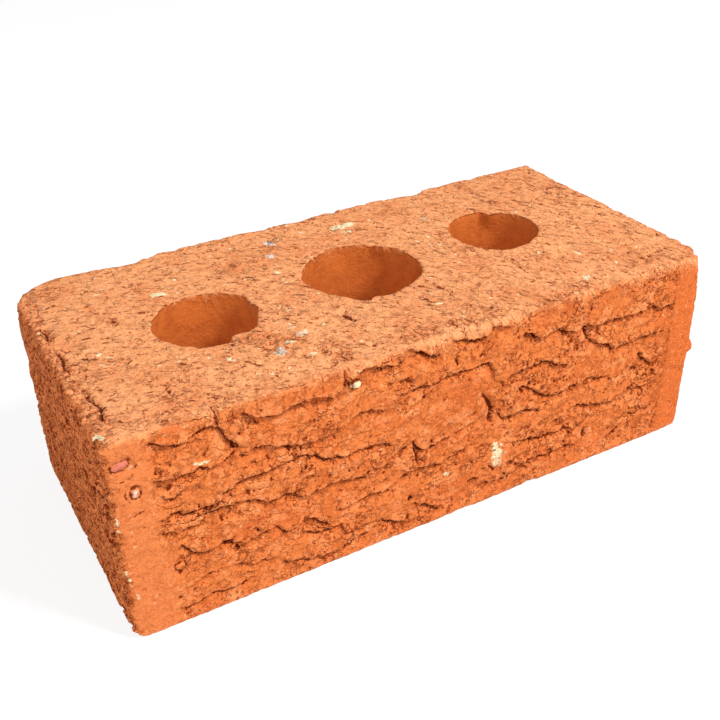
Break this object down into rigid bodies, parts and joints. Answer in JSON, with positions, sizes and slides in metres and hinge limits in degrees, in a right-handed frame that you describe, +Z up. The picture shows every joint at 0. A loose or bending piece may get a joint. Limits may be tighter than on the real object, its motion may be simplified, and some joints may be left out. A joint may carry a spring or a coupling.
{
  "type": "clay brick",
  "caption": "Cored clay facing brick: an extruded block with round cores through its height and torn, rusticated long faces.",
  "frame": {"origin": "centre of the lower bed, at the surface that the brick lies on", "axes": "+X along the brick's length, to the right seen from the face that shows; +Y from that face to the back; +Z up, along the cores"},
  "size_m": [0.222, 0.106, 0.073],
  "materials": {
    "fired_clay": "matte"
  },
  "bodies": {
    "root": {"clay_brick": "fired_clay"}
  },
  "joints": []
}
